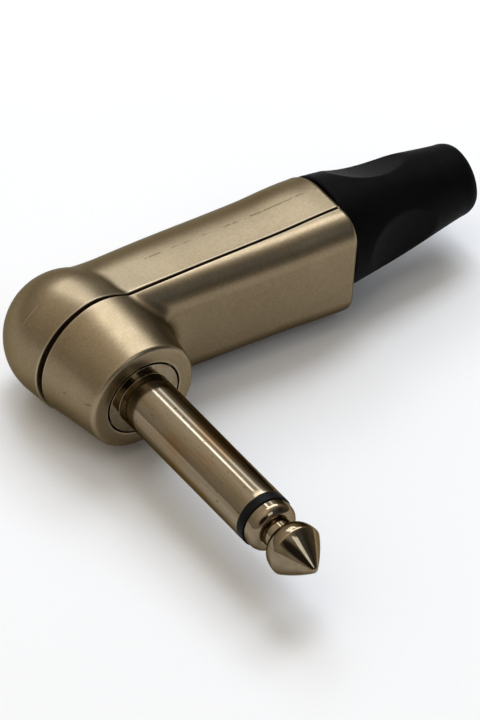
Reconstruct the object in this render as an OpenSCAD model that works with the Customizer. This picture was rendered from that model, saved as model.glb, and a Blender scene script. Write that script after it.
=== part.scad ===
// Right-angle jack plug with a two-part cast housing and a screwed cable boot.
// The origin is on the finger's axis, in the plane of the head's face.
// The finger points along -Y, the arm runs along +X, and the plug lies on its side with +Z up.

/* [Finger] */
// Diameter of the finger
finger_d = 6.35; // [6.2:0.05:6.5]
// Length of the sleeve from the head's face to the black ring
sleeve_length = 21.8; // [19:0.1:24]
// Thickness of the black ring
ring_length = 1.1; // [0.8:0.1:2]
// Diameter of the barrel between the black ring and the neck
barrel_d = 6; // [5.6:0.05:6]
// Length of the barrel's straight part
barrel_length = 0.7; // [0.4:0.1:1.6]
// Length of the barrel's rounded shoulder
shoulder_length = 1.2; // [0.8:0.1:2]
// Diameter of the neck
neck_d = 3.6; // [3.2:0.1:4.4]
// Length of the neck
neck_length = 1.2; // [0.4:0.1:1.8]
// Widest diameter of the tip's head
tip_head_d = 6.3; // [5.6:0.05:6.3]
// Length from the neck to the head's widest place
flare_length = 2.2; // [1.2:0.1:2.6]
// Length from the head's widest place to the point
nose_length = 3.7; // [3:0.1:5]
// Radius of the tip's blunt point
point_r = 0.6; // [0.3:0.1:1]
// Bulge of the nose between its widest place and its point
nose_bulge = 0.15; // [0:0.05:0.3]
// Diameter of the rod that runs back from the tip
rod_d = 2.2; // [1.8:0.1:2.6]

/* [Finger fixing] */
// Diameter of the polished flange in the head's face
flange_d = 8.9; // [8:0.1:9.4]
// Thickness of the flange
flange_t = 0.9; // [0.6:0.1:1.4]
// Gap round the flange in its seat
flange_gap = 0.15; // [0.1:0.05:0.25]
// Diameter of the spigot pressed through the front wall
spigot_d = 7.8; // [7:0.1:7.9]
// Thickness of the front wall behind the flange's seat
front_wall = 2.4; // [1.8:0.1:3]
// Diameter of the spigot's rim, riveted over behind the front wall
rim_d = 8.5; // [8.2:0.1:9]
// Height of the riveted rim
rim_h = 0.5; // [0.3:0.1:0.9]
// Wall of the insulating tube round the rod
tube_wall = 0.6; // [0.4:0.05:0.8]
// Diameter of the black ring's spigot in the sleeve's mouth
ring_spigot_d = 4.8; // [4.4:0.1:5.2]
// Depth of the black ring's spigot
ring_spigot_h = 1.5; // [1:0.1:2.5]

/* [Terminals] */
// Thickness of the solder tags
tag_t = 0.5; // [0.3:0.05:0.7]
// Diameter of the earth tag's eye
earth_eye_d = 7.4; // [6.8:0.1:8]
// Diameter of the tip tag's eye
tip_eye_d = 4.6; // [4.2:0.1:5.2]
// Width of the tags' lugs
lug_w = 2.4; // [1.8:0.1:3]
// Diameter of the wire hole in each lug
lug_hole_d = 1.3; // [0.8:0.1:1.5]
// Distance from the finger's axis to the outside of the earth tag's bend
earth_bend_x = 4.4; // [4.2:0.1:4.6]
// Distance from the finger's axis to the outside of the tip tag's bend
tip_bend_x = 2.9; // [2.7:0.1:3.1]
// Reach of the earth lug along the arm
earth_reach = 14.5; // [12:0.5:16]
// Reach of the tip lug along the arm
tip_reach = 12; // [10:0.5:14]
// Offset of the earth lug from the arm's axis, towards the finger
earth_lug_drop = 3; // [2.6:0.1:3.2]
// Offset of the tip lug from the arm's axis, towards the finger
tip_lug_drop = 0.4; // [0:0.1:0.8]
// Thickness of the washer under the tip tag
washer_t = 1.1; // [0.8:0.1:1.4]
// Diameter of the washer under the tip tag
washer_d = 7; // [6.8:0.1:7.4]
// Diameter of the upset end of the rod
rivet_d = 3.4; // [3:0.1:3.8]
// Height of the upset end of the rod
rivet_h = 0.6; // [0.4:0.1:0.8]

/* [Head] */
// Diameter of the boss at the head's face
face_d = 13; // [12.4:0.1:13.6]
// Rounding of the face's outer edge
face_round = 0.9; // [0.4:0.1:1.2]
// Diameter of the boss where it meets the cover
boss_d = 15.5; // [15:0.1:16.2]
// Distance from the face back to the joint between the two castings
joint_y = 8.6; // [8:0.05:9]
// Width of the joint line
seam = 0.3; // [0.2:0.02:0.5]
// Extra width of the joint line at the far side of the head
seam_flare = 0.3; // [0.1:0.05:0.6]
// Step from the boss out to the cover's skirt at the joint
skirt_step = 0.2; // [0.1:0.05:0.4]
// Radius of the cover's dome
dome_r = 7.45; // [7.2:0.05:7.8]
// Distance of the dome's centre beyond the finger's axis, away from the arm
dome_shift = 1; // [0.5:0.1:1.4]

/* [Arm] */
// Distance from the finger's axis to the end of the arm
arm_end = 31.5; // [29:0.1:35]
// Distance of the arm's axis behind the head's face
arm_y = 12.2; // [11.8:0.05:12.6]
// Height of the arm's section beside the head
arm_h = 13.5; // [13.2:0.05:14]
// Height of the arm's section at its swell
swell_h = 13.75; // [13.5:0.05:14.2]
// Height of the arm's section at its end
end_h = 13.3; // [13.1:0.05:13.6]
// Distance of the swell from the arm's end
swell_back = 5.2; // [3:0.1:8]
// Depth of the arm's finger side from the arm's axis, beside the head
arm_depth = 5.75; // [5.5:0.05:6]
// Depth of the arm's finger side from the arm's axis, at the arm's end
end_depth = 7.3; // [6.8:0.1:7.8]
// Corner radius of the arm's finger side
corner_r = 3; // [2.4:0.1:3.4]
// Rounding of the arm's end
end_round = 0.6; // [0.2:0.1:0.8]
// Radius of the hollow root between the boss and the arm
root_r = 2; // [1.2:0.1:2.4]

/* [Housing walls] */
// Wall of the two castings
wall = 1.5; // [1.2:0.05:1.6]
// Height of the cover's locating lip
lip_h = 0.8; // [0.5:0.1:1]
// Thickness of the cover's locating lip
lip_t = 0.55; // [0.4:0.05:0.7]
// Distance of the lip from the outside of the castings
lip_inset = 0.95; // [0.8:0.05:1.1]
// Start of the cable clamp's seat, from the finger's axis
seat_x = 20; // [19:0.1:21]
// Thickness of the bulkhead before the seat
bulkhead_t = 1.6; // [1.2:0.1:2.2]

/* [Cable entry] */
// Diameter of the thread between gland and housing
thread_d = 11; // [10.8:0.1:11.2]
// Length of the gland's threaded part inside the housing
thread_length = 5.6; // [5:0.1:6.5]
// Diameter of the largest cable
cable_d = 6.5; // [5.5:0.1:6.6]
// Length of the cable clamp's ring
clamp_ring_l = 2.6; // [2:0.1:3.2]
// Length of the cable clamp
clamp_length = 11; // [10:0.1:11.5]
// Diameter of the clamp's fingers beside its ring
clamp_d = 9.4; // [9:0.1:9.6]
// Diameter of the clamp's fingers at their ends
clamp_end_d = 8.2; // [7.8:0.1:8.6]
// Width of the slits between the clamp's fingers
slit_w = 1; // [0.6:0.1:1.4]
// Width of the clamp's two keys
key_w = 1.8; // [1.4:0.1:2.4]
// Height of the clamp's two keys above the thread
key_h = 0.5; // [0.3:0.05:0.6]
// Length of the two keyways
keyway_l = 7; // [6:0.1:8]
// Outer diameter of the insulating sleeve
liner_d = 8.6; // [8.2:0.1:8.8]
// Wall of the insulating sleeve
liner_t = 0.4; // [0.3:0.05:0.5]
// Length of the insulating sleeve
liner_length = 13; // [11:0.5:14]

/* [Boot] */
// Diameter of the boot beside the arm
boot_d = 13.3; // [13:0.1:13.8]
// Diameter of the boot at its end
boot_end_d = 7.8; // [7.6:0.1:9]
// Length of the boot
boot_length = 18.6; // [17:0.1:22]
// Rounding of the boot's end
boot_round = 0.8; // [0.4:0.1:1.2]
// Rounding of the boot's front edge
boot_edge = 0.3; // [0.1:0.05:0.5]
// Gap between the arm's end and the boot
boot_gap = 0.25; // [0.15:0.05:0.4]
// Diameter of the cable's hole through the gland
gland_bore_d = 7; // [6.9:0.1:7.2]
// Diameter of the gland's flange in the boot
gland_flange_d = 11.6; // [11.2:0.1:12]
// Thickness of the gland's flange
gland_flange_t = 1.4; // [1:0.1:2]
// Diameter of the gland's tail in the boot
gland_tail_d = 9; // [8.6:0.1:9.4]
// Length of the gland's tail behind its flange
gland_tail_l = 6; // [4:0.1:7]
// Number of finger recesses round the boot
recesses = 3; // [2:1:4]
// Radius of the finger recesses
recess_r = 13; // [9:0.5:24]
// Depth of the finger recesses
recess_depth = 0.7; // [0.3:0.05:0.9]
// Distance of the recesses behind the boot's front
recess_x = 8; // [6:0.1:10]
// Turn of the first recess from the top towards the back of the arm
recess_turn = 28; // [0:5:60]

/* [Hidden] */
$fn = 72;

// Clearance of pieces fitted together, of turning pieces and of sliding pieces
seat_fit = 0.02;
turn_fit = 0.08;
slide_fit = 0.1;
// A cut runs past the face it opens by this much
cut = 0.5;
// Thickness of the slices that the arm is drawn through
slice = 0.1;
// The hollow root's edges and its back run this deep under the faces they meet
root_sink = 0.06;
root_back = 0.8;

// Places along the finger, counted from the head's face towards the point
ring_end = sleeve_length + ring_length;
shoulder_at = ring_end + barrel_length;
neck_at = shoulder_at + shoulder_length;
flare_at = neck_at + neck_length;
head_at = flare_at + flare_length;
point_at = head_at + nose_length;

// Places behind the head's face
wall_back = flange_t + front_wall;
rim_back = wall_back + rim_h;
washer_front = rim_back + tag_t;
washer_back = washer_front + washer_t;
tip_tag_back = washer_back + tag_t;
skirt_d = boss_d + 2 * skirt_step;
body_rim = joint_y - seam / 2;
cover_rim = joint_y + seam / 2;
lip_front = cover_rim - lip_h;
tube_d = rod_d + 2 * tube_wall;

// Places along the arm, counted from the finger's axis
bulkhead_x = seat_x - bulkhead_t;
boot_x = arm_end + boot_gap;
clamp_x = seat_x + slide_fit;
fingers_x = clamp_x + clamp_ring_l;
fingers_l = clamp_length - clamp_ring_l;

boss_lean = atan2(boss_d - face_d, 2 * joint_y);
side_lean = atan2(end_depth - arm_depth, arm_end);

function boss_r(y) = (face_d + (boss_d - face_d) * y / joint_y) / 2;
function arm_h_at(x) = arm_h + (swell_h - arm_h) * x / (arm_end - swell_back);
function arm_depth_at(x) = arm_depth + (end_depth - arm_depth) * x / arm_end;
function unit(v) = v / norm(v);
function clamp_r(x) = (clamp_d + (clamp_end_d - clamp_d) * (x - fingers_x) / fingers_l) / 2;

// Turns local +Z to the finger's point
module on_finger_axis() {
    rotate([90, 0, 0]) children();
}

// Turns local +Z to the back of the head, from a place behind its face
module behind_face(y) {
    translate([0, y, 0]) rotate([-90, 0, 0]) children();
}

// Turns local +Z to the arm's free end, on the arm's axis, and local +X to the underside
module on_arm_axis(x) {
    translate([x, arm_y, 0]) rotate([0, 90, 0]) children();
}

// Section of the arm: a half-round back and a flat finger side with rounded corners
module arm_section(x, h, inset) {
    depth = arm_depth_at(x);
    translate([0, 0, x]) linear_extrude(slice) {
        circle(h / 2 - inset, $fn = 60);
        for (side = [-1, 1])
            translate([side * (h / 2 - corner_r), corner_r - depth]) circle(corner_r - inset, $fn = 36);
    }
}

// The arm's outer form, which deepens and swells towards its end
module arm_form() {
    last = arm_end - slice;
    on_arm_axis(0) hull() {
        arm_section(0, arm_h, 0);
        arm_section(arm_end - swell_back, swell_h, 0);
        arm_section(arm_end - end_round, end_h, 0);
        arm_section(arm_end - end_round / 2, end_h, end_round / 6);
        arm_section(last, end_h, 2 * end_round / 3);
    }
}

// The wire space along the arm, up to the bulkhead
module arm_space() {
    on_arm_axis(0) hull() {
        arm_section(0, arm_h, wall);
        arm_section(bulkhead_x - slice, arm_h, wall);
    }
}

// The cover's dome and its skirt, turned about an axis that leans away from the arm
module dome_form(inset) {
    lean = atan2(dome_shift, arm_y - joint_y);
    centre = norm([dome_shift, arm_y - joint_y]);
    // the skirt's side touches the dome at this angle
    touch = acos(dome_r / norm([skirt_d / 2, centre])) - atan2(centre, skirt_d / 2);
    ball = dome_r - inset;
    foot = centre + ball;
    translate([0, joint_y, 0]) rotate([0, 0, lean]) rotate([-90, 0, 0]) rotate_extrude() {
        polygon([
            [0, -foot], [(ball + (foot + centre) * sin(touch)) / cos(touch), -foot],
            [ball * cos(touch), centre + ball * sin(touch)], [0, centre + ball * sin(touch)]
        ]);
        translate([0, centre]) intersection() {
            circle(ball);
            square([ball, ball]);
        }
    }
}

// The castings' outline at the joint, drawn in X and Z
module joint_outline(inset, length) {
    circle(boss_d / 2 - inset);
    translate([0, inset - arm_h / 2]) square([length, arm_h - 2 * inset]);
}

// Extrudes an outline drawn in X and Z from one depth behind the face to another
module depth_slab(from_y, to_y) {
    translate([0, to_y, 0]) rotate([90, 0, 0]) linear_extrude(to_y - from_y) children();
}

// The part of a form that lies between two depths behind the face
module between(from_y, to_y) {
    size = 4 * arm_end;
    intersection() {
        children();
        translate([-size / 2, from_y, -size / 2]) cube([size, to_y - from_y, size]);
    }
}

// Seat of the cable clamp, its two keyways, the thread and the bulkhead's hole
module cable_space() {
    on_arm_axis(seat_x) {
        cylinder(d = thread_d, h = arm_end - seat_x + cut);
        translate([-thread_d / 2 - key_h - slide_fit, -key_w / 2 - slide_fit, 0])
            cube([thread_d + 2 * (key_h + slide_fit), key_w + 2 * slide_fit, keyway_l]);
        translate([0, 0, -bulkhead_t - cut])
            cylinder(d = liner_d + 2 * seat_fit, h = bulkhead_t + 2 * cut);
    }
}

// Conical boss with a rounded face edge
module boss_form() {
    edge_r = boss_r(face_round) - face_round;
    rotate([-90, 0, 0]) rotate_extrude() {
        polygon([
            [0, 0], [edge_r, 0], [edge_r, face_round], [boss_r(face_round), face_round],
            [boss_r(body_rim), body_rim], [0, body_rim]
        ]);
        intersection() {
            translate([edge_r, face_round]) circle(face_round);
            translate([edge_r - cut, 0]) square([face_round + cut, face_round]);
        }
    }
}

// Centre of a ball that rolls along the corner between the boss and the arm. Turn says how far the
// arm's face, where the ball touches it, is turned away from facing the finger.
function ball_y(x, turn) = arm_y - arm_depth_at(x) + corner_r - (corner_r + root_r) * cos(turn);
function ball_x(z, turn, x, passes) = passes == 0 ? x
    : ball_x(z, turn, sqrt(pow(boss_r(ball_y(x, turn)) + root_r / cos(boss_lean), 2) - z * z), passes - 1);

// One ring of the hollow root: an arc of the ball from the arm to the boss, and a point behind it.
// Height is that of the axis of the arm's rounded corner, or of a place between the two corners.
function root_ring(height, turn) = let (
    steps = 8,
    passes = 5,
    z = height + (corner_r + root_r) * sin(turn),
    x = ball_x(z, turn, boss_d / 2, passes),
    centre = [x, ball_y(x, turn), z],
    around = atan2(z, x),
    to_arm = unit([sin(side_lean), cos(turn), -sin(turn)]),
    to_boss = [-cos(around) * cos(boss_lean), sin(boss_lean), -sin(around) * cos(boss_lean)],
    back = to_arm + to_boss
) concat(
    [for (i = [0:steps]) centre + (root_r + (i == 0 || i == steps ? root_sink : 0))
        * unit(to_arm * (steps - i) + to_boss * i)],
    [centre + (2 * root_r / norm(back) + root_back) * unit(back)]
);

// Hollow root between the boss and the arm, lofted through its rings
module root_form() {
    corner_z = arm_h_at(boss_d / 2) / 2 - corner_r;
    turn_step = 8;
    last_turn = 80;
    flat_steps = 6;
    rings = concat(
        [for (turn = [-last_turn:turn_step:-turn_step]) root_ring(-corner_z, turn)],
        [for (i = [-flat_steps:flat_steps]) root_ring(corner_z * i / flat_steps, 0)],
        [for (turn = [turn_step:turn_step:last_turn]) root_ring(corner_z, turn)]
    );
    n = len(rings[0]);
    polyhedron(
        points = [for (ring = rings) each ring],
        faces = concat(
            [[for (i = [n - 1:-1:0]) i]],
            [for (k = [0:len(rings) - 2], i = [0:n - 1])
                [k * n + i, k * n + (i + 1) % n, (k + 1) * n + (i + 1) % n, (k + 1) * n + i]],
            [[for (i = [0:n - 1]) (len(rings) - 1) * n + i]]
        )
    );
}

// Both castings carry this colour in plain views
module cast_metal() {
    color([0.83, 0.77, 0.63]) children();
}

// Wedge off the body's rim that widens the joint away from the arm
module seam_wedge() {
    translate([0, body_rim, -boss_d]) linear_extrude(2 * boss_d) polygon([
        [boss_d / 4, cut], [boss_d / 4, 0], [-boss_d / 2, -seam_flare], [-boss_d / 2, cut]
    ]);
}

module body_shell() {
    cast_metal() difference() {
        union() {
            boss_form();
            between(0, body_rim) {
                arm_form();
                root_form();
            }
        }
        // seat of the flange, and the hole of its spigot
        on_finger_axis() translate([0, 0, -flange_t])
            cylinder(d = flange_d + 2 * flange_gap, h = flange_t + cut);
        on_finger_axis() translate([0, 0, -wall_back - cut])
            cylinder(d = spigot_d + 2 * seat_fit, h = wall_back + cut);
        // room for the terminals behind the front wall
        behind_face(wall_back) cylinder(
            r1 = boss_r(wall_back) - wall, r2 = boss_r(joint_y) - wall, h = joint_y - wall_back
        );
        between(wall_back, joint_y) arm_space();
        cable_space();
        // rebate for the cover's lip
        depth_slab(lip_front, joint_y) joint_outline(lip_inset - slide_fit, bulkhead_x);
        // the joint widens towards the far side of the head
        seam_wedge();
    }
}

module cover() {
    cast_metal() {
        difference() {
            between(cover_rim, 2 * arm_y) {
                dome_form(0);
                arm_form();
            }
            dome_form(wall);
            arm_space();
            cable_space();
        }
        // lip that locates the cover in the body's rebate
        depth_slab(lip_front, cover_rim + lip_t) difference() {
            joint_outline(lip_inset, bulkhead_x - slide_fit);
            joint_outline(lip_inset + lip_t, arm_end);
        }
    }
}

// Turned sleeve, its flange and the spigot that is riveted over behind the front wall
module finger_sleeve() {
    color([0.8, 0.78, 0.72]) on_finger_axis() difference() {
        union() {
            cylinder(d = finger_d, h = sleeve_length);
            translate([0, 0, -flange_t]) cylinder(d = flange_d, h = flange_t);
            translate([0, 0, -rim_back]) cylinder(d = spigot_d, h = rim_back);
            translate([0, 0, -rim_back]) cylinder(d = rim_d, h = rim_h);
        }
        translate([0, 0, -rim_back - cut])
            cylinder(d = tube_d + 2 * seat_fit, h = rim_back + sleeve_length + 2 * cut);
        translate([0, 0, sleeve_length - ring_spigot_h])
            cylinder(d = ring_spigot_d + 2 * seat_fit, h = ring_spigot_h + cut);
    }
}

// Profile of the tip in front of the black ring, drawn as radius and place along the finger
module tip_profile() {
    barrel_r = barrel_d / 2;
    neck_r = neck_d / 2;
    head_r = tip_head_d / 2;
    point_c = point_at - point_r;
    // the nose meets the point's ball where its straight side touches it
    lean = atan2(head_r - point_r, point_c - head_at);
    steps = 8;
    polygon(concat(
        [[0, ring_end], [barrel_r, ring_end]],
        [for (i = [0:steps]) let (a = 90 * i / steps)
            [neck_r + (barrel_r - neck_r) * cos(a), shoulder_at + shoulder_length * sin(a)]],
        [[neck_r, flare_at]],
        [for (i = [1:steps]) let (a = 90 * i / steps)
            [neck_r + (head_r - neck_r) * sin(a), flare_at + flare_length * (1 - cos(a))]],
        [for (i = [1:steps - 1]) let (t = i / steps)
            [head_r + (point_r * cos(lean) - head_r) * t + 4 * nose_bulge * t * (1 - t),
             head_at + (point_c + point_r * sin(lean) - head_at) * t]],
        [for (i = [0:steps]) let (a = lean + (90 - lean) * i / steps)
            [point_r * cos(a), point_c + point_r * sin(a)]]
    ));
}

// Turned tip with the rod that runs back through the finger and is upset behind the tip tag
module tip_pin() {
    color([0.82, 0.8, 0.74]) on_finger_axis() {
        rotate_extrude() tip_profile();
        translate([0, 0, -tip_tag_back]) cylinder(d = rod_d, h = tip_tag_back + shoulder_at);
        translate([0, 0, -tip_tag_back - rivet_h]) cylinder(d = rivet_d, h = rivet_h);
    }
}

// Black ring between sleeve and tip, its spigot in the sleeve's mouth
module insulator_ring() {
    color([0.06, 0.06, 0.06]) on_finger_axis() difference() {
        union() {
            translate([0, 0, sleeve_length]) cylinder(d = finger_d, h = ring_length);
            translate([0, 0, sleeve_length - ring_spigot_h])
                cylinder(d = ring_spigot_d, h = ring_spigot_h + ring_length);
        }
        translate([0, 0, sleeve_length - ring_spigot_h - cut])
            cylinder(d = rod_d + 2 * seat_fit, h = ring_spigot_h + ring_length + 2 * cut);
    }
}

// Tube that keeps the rod off the sleeve and off the earth tag
module insulator_tube() {
    length = washer_front + sleeve_length - ring_spigot_h;
    color([0.92, 0.92, 0.88]) on_finger_axis() translate([0, 0, -washer_front]) difference() {
        cylinder(d = tube_d, h = length);
        translate([0, 0, -cut]) cylinder(d = rod_d + 2 * seat_fit, h = length + 2 * cut);
    }
}

// Washer between the two solder tags
module rear_insulator() {
    color([0.2, 0.19, 0.18]) behind_face(washer_front) difference() {
        cylinder(d = washer_d, h = washer_t);
        translate([0, 0, -cut]) cylinder(d = rod_d + 2 * seat_fit, h = washer_t + 2 * cut);
    }
}

// Eye on the rod, a leg up and a straight lug along the arm
module solder_tag(eye_d, hole_d, eye_y, bend_x, lug_drop, reach) {
    lug_y = arm_y - lug_drop - tag_t;
    lug_end = reach - lug_w / 2;
    difference() {
        union() {
            behind_face(eye_y) cylinder(d = eye_d, h = tag_t);
            translate([0, eye_y, -lug_w / 2]) cube([bend_x, tag_t, lug_w]);
            translate([bend_x - tag_t, eye_y, -lug_w / 2]) cube([tag_t, lug_y + tag_t - eye_y, lug_w]);
            translate([bend_x - tag_t, lug_y, -lug_w / 2]) cube([lug_end - bend_x + tag_t, tag_t, lug_w]);
            translate([lug_end, 0, 0]) behind_face(lug_y) cylinder(d = lug_w, h = tag_t);
        }
        behind_face(eye_y - cut) cylinder(d = hole_d + 2 * seat_fit, h = tag_t + 2 * cut);
        translate([lug_end, 0, 0]) behind_face(lug_y - cut) cylinder(d = lug_hole_d, h = tag_t + 2 * cut);
    }
}

module earth_tag() {
    color([0.8, 0.78, 0.7])
        solder_tag(earth_eye_d, tube_d, rim_back, earth_bend_x, earth_lug_drop, earth_reach);
}

module tip_tag() {
    color([0.8, 0.78, 0.7])
        solder_tag(tip_eye_d, rod_d, washer_back, tip_bend_x, tip_lug_drop, tip_reach);
}

// Sleeve round the solder lugs, seated in the bulkhead's hole
module insulating_sleeve() {
    color([0.25, 0.25, 0.25]) on_arm_axis(seat_x - liner_length) difference() {
        cylinder(d = liner_d, h = liner_length);
        translate([0, 0, -cut]) cylinder(d = liner_d - 2 * liner_t, h = liner_length + 2 * cut);
    }
}

// Slit cable clamp: a keyed ring and four springing fingers
module cable_clamp() {
    key_span = thread_d + 2 * key_h;
    color([0.14, 0.14, 0.14]) on_arm_axis(clamp_x) difference() {
        union() {
            cylinder(d = thread_d - 2 * slide_fit, h = clamp_ring_l);
            cylinder(d1 = 2 * clamp_r(clamp_x), d2 = clamp_end_d, h = clamp_length);
            translate([-key_span / 2, -key_w / 2, 0]) cube([key_span, key_w, clamp_ring_l]);
        }
        translate([0, 0, -cut]) cylinder(d = cable_d, h = clamp_length + 2 * cut);
        for (turn = [45, 135]) rotate(turn)
            translate([-thread_d, -slit_w / 2, clamp_ring_l]) cube([2 * thread_d, slit_w, fingers_l + cut]);
    }
}

// Threaded gland that closes the clamp's fingers, and carries the boot
module gland_nut() {
    mouth_x = boot_x - thread_length;
    cone_l = clamp_x + clamp_length + slide_fit - mouth_x;
    color([0.1, 0.1, 0.1]) on_arm_axis(boot_x) difference() {
        union() {
            translate([0, 0, -thread_length])
                cylinder(d = thread_d - 2 * turn_fit, h = thread_length + gland_flange_t);
            cylinder(d = gland_flange_d, h = gland_flange_t);
            cylinder(d = gland_tail_d, h = gland_flange_t + gland_tail_l);
        }
        translate([0, 0, -thread_length]) cylinder(
            r1 = clamp_r(mouth_x) + slide_fit, r2 = clamp_r(mouth_x + cone_l) + slide_fit, h = cone_l
        );
        translate([0, 0, -thread_length - cut])
            cylinder(d = gland_bore_d, h = 2 * (thread_length + gland_tail_l));
    }
}

// Rubber boot moulded on the gland, with finger recesses round it
module boot() {
    front_r = boot_d / 2;
    end_r = boot_end_d / 2;
    color([0.1, 0.1, 0.1]) on_arm_axis(boot_x) difference() {
        rotate_extrude() {
            polygon([
                [0, 0], [front_r - boot_edge, 0], [front_r, boot_edge],
                [end_r, boot_length - boot_round], [end_r - boot_round, boot_length], [0, boot_length]
            ]);
            intersection() {
                translate([end_r - boot_round, boot_length - boot_round]) circle(boot_round);
                square([end_r, boot_length]);
            }
        }
        boot_recesses();
        translate([0, 0, -cut]) cylinder(d = gland_flange_d, h = gland_flange_t + cut);
        cylinder(d = gland_tail_d, h = gland_flange_t + gland_tail_l);
        cylinder(d = cable_d, h = boot_length + cut);
    }
}

// Shallow recesses for the fingers, spaced evenly round the boot
module boot_recesses() {
    surface_r = (boot_d + (boot_end_d - boot_d) * recess_x / boot_length) / 2;
    for (i = [0:recesses - 1]) rotate(360 * i / recesses - recess_turn)
        translate([-surface_r - recess_r + recess_depth, -boot_d, recess_x]) rotate([-90, 0, 0])
            cylinder(r = recess_r, h = 2 * boot_d);
}

body_shell();
cover();
finger_sleeve();
tip_pin();
insulator_ring();
insulator_tube();
rear_insulator();
earth_tag();
tip_tag();
insulating_sleeve();
cable_clamp();
gland_nut();
boot();
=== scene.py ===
import math

import bpy
import numpy as np
from mathutils import Matrix, Vector


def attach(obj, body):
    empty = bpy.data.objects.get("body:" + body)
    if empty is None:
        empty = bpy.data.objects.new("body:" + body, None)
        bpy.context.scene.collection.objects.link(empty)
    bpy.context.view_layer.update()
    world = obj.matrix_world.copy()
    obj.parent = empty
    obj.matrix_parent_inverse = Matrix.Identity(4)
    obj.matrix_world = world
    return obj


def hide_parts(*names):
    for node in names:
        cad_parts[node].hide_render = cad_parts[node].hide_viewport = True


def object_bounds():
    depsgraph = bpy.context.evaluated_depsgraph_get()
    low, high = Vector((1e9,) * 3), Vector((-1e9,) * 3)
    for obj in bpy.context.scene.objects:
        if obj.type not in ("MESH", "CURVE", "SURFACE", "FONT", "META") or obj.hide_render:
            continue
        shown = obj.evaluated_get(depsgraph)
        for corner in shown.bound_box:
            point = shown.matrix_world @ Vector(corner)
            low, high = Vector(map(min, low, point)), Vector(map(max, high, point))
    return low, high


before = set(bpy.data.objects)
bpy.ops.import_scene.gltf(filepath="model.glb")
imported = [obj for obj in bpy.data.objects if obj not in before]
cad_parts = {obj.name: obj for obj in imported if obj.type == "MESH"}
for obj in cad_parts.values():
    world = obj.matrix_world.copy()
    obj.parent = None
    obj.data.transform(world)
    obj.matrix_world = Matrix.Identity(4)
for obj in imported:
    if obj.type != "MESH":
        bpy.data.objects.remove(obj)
cadLow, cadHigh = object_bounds()
mm = 0.001
tiny = 1e-9     # keeps divisions off zero

# places that the pieces share, in millimetres, as in the solids
plug = {
    "armY": 12.2,        # arm's axis behind the head's face
    "armEnd": 31.5,
    "jointY": 8.6,
    "jointGap": 0.3,
    "faceDia": 13.0,
    "bossDia": 15.5,
    "fingerDia": 6.35,
    "sleeveLength": 21.8,
    "ringLength": 1.1,
    "rodDia": 2.2,
    "gapAtBoot": 0.25,
    "cableDia": 6.5,
}
bootX = plug["armEnd"] + plug["gapAtBoot"]


# camera: the photograph's view, found from the plug's outlines
view = {
    "centre": (143.857, 397.879),   # picture point of the origin
    "pixelsPerMm": 9.352926,
    "distance": 1200.0,
    "right": (0.8215909, -0.5673802, 0.0564370),
    "up": (0.3436447, 0.5718865, 0.7448536),
    "back": (-0.4547185, -0.5925238, 0.6648193),
    "picture": (480, 720),
    "film": 36.0,                   # its height, in millimetres
    "near": 0.05, "far": 20.0,      # what the camera sees, in metres
}


def addCamera():
    right, up, back = (Vector(view[k]) for k in ("right", "up", "back"))
    width, height = view["picture"]
    focal = view["pixelsPerMm"] * view["distance"]
    # aim at the middle of the picture instead of shifting the lens
    ahead = (-back * focal + right * (width / 2 - view["centre"][0])
             + up * (view["centre"][1] - height / 2)).normalized()
    side = ahead.cross(up).normalized()
    top = side.cross(ahead)
    data = bpy.data.cameras.new("photoCamera")
    data.sensor_fit = "VERTICAL"
    data.sensor_height = view["film"]
    data.lens = focal / height * view["film"]
    data.clip_start = view["near"]
    data.clip_end = view["far"]
    cam = bpy.data.objects.new("photoCamera", data)
    bpy.context.scene.collection.objects.link(cam)
    place = Matrix((side, top, -ahead)).transposed().to_4x4()
    place.translation = back * view["distance"] * mm
    cam.matrix_world = place
    bpy.context.scene.camera = cam


addCamera()
print("camera placed")


# mesh helpers

def makePiece(name, points, faces, material, body, normals=None):
    mesh = bpy.data.meshes.new(name)
    mesh.from_pydata((np.asarray(points, float) * mm).tolist(), [], faces)
    mesh.validate()
    mesh.polygons.foreach_set("use_smooth", [True] * len(mesh.polygons))
    if normals is not None:
        mesh.normals_split_custom_set_from_vertices(np.asarray(normals).tolist())
    mesh.materials.append(material)
    piece = bpy.data.objects.new(name, mesh)
    bpy.context.scene.collection.objects.link(piece)
    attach(piece, body)
    return piece


def roundCorners(profile, steps=5):
    # profile of (axial, radius, rounding); each corner becomes an arc of its rounding
    share = 0.45    # of a line that the rounding at its end may take
    out = []
    count = len(profile)
    for i, (a, r, rounding) in enumerate(profile):
        here = np.array([a, r], float)
        if rounding <= 0:
            out.append(here)
            continue
        before = np.array(profile[i - 1][:2], float) - here
        after = np.array(profile[(i + 1) % count][:2], float) - here
        lenBefore, lenAfter = np.linalg.norm(before), np.linalg.norm(after)
        before, after = before / lenBefore, after / lenAfter
        half = math.acos(np.clip(before @ after, -1, 1)) / 2
        reach = min(rounding / math.tan(half), share * lenBefore, share * lenAfter)
        radius = reach * math.tan(half)
        centre = here + (before + after) / np.linalg.norm(before + after) * radius / math.sin(half)
        start, end = here + before * reach - centre, here + after * reach - centre
        a0 = math.atan2(start[1], start[0])
        turn = (math.atan2(end[1], end[0]) - a0 + math.pi) % (2 * math.pi) - math.pi
        for k in range(steps + 1):
            angle = a0 + turn * k / steps
            out.append(centre + radius * np.array([math.cos(angle), math.sin(angle)]))
    return np.array(out)


def fillProfile(profile, longest):
    # adds points where a profile's line is longer than it may be
    out = []
    for i in range(len(profile)):
        a, b = profile[i], profile[(i + 1) % len(profile)]
        pieces = max(1, int(math.ceil(np.linalg.norm(b - a) / longest)))
        for k in range(pieces):
            out.append(a + (b - a) * k / pieces)
    return np.array(out)


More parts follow.
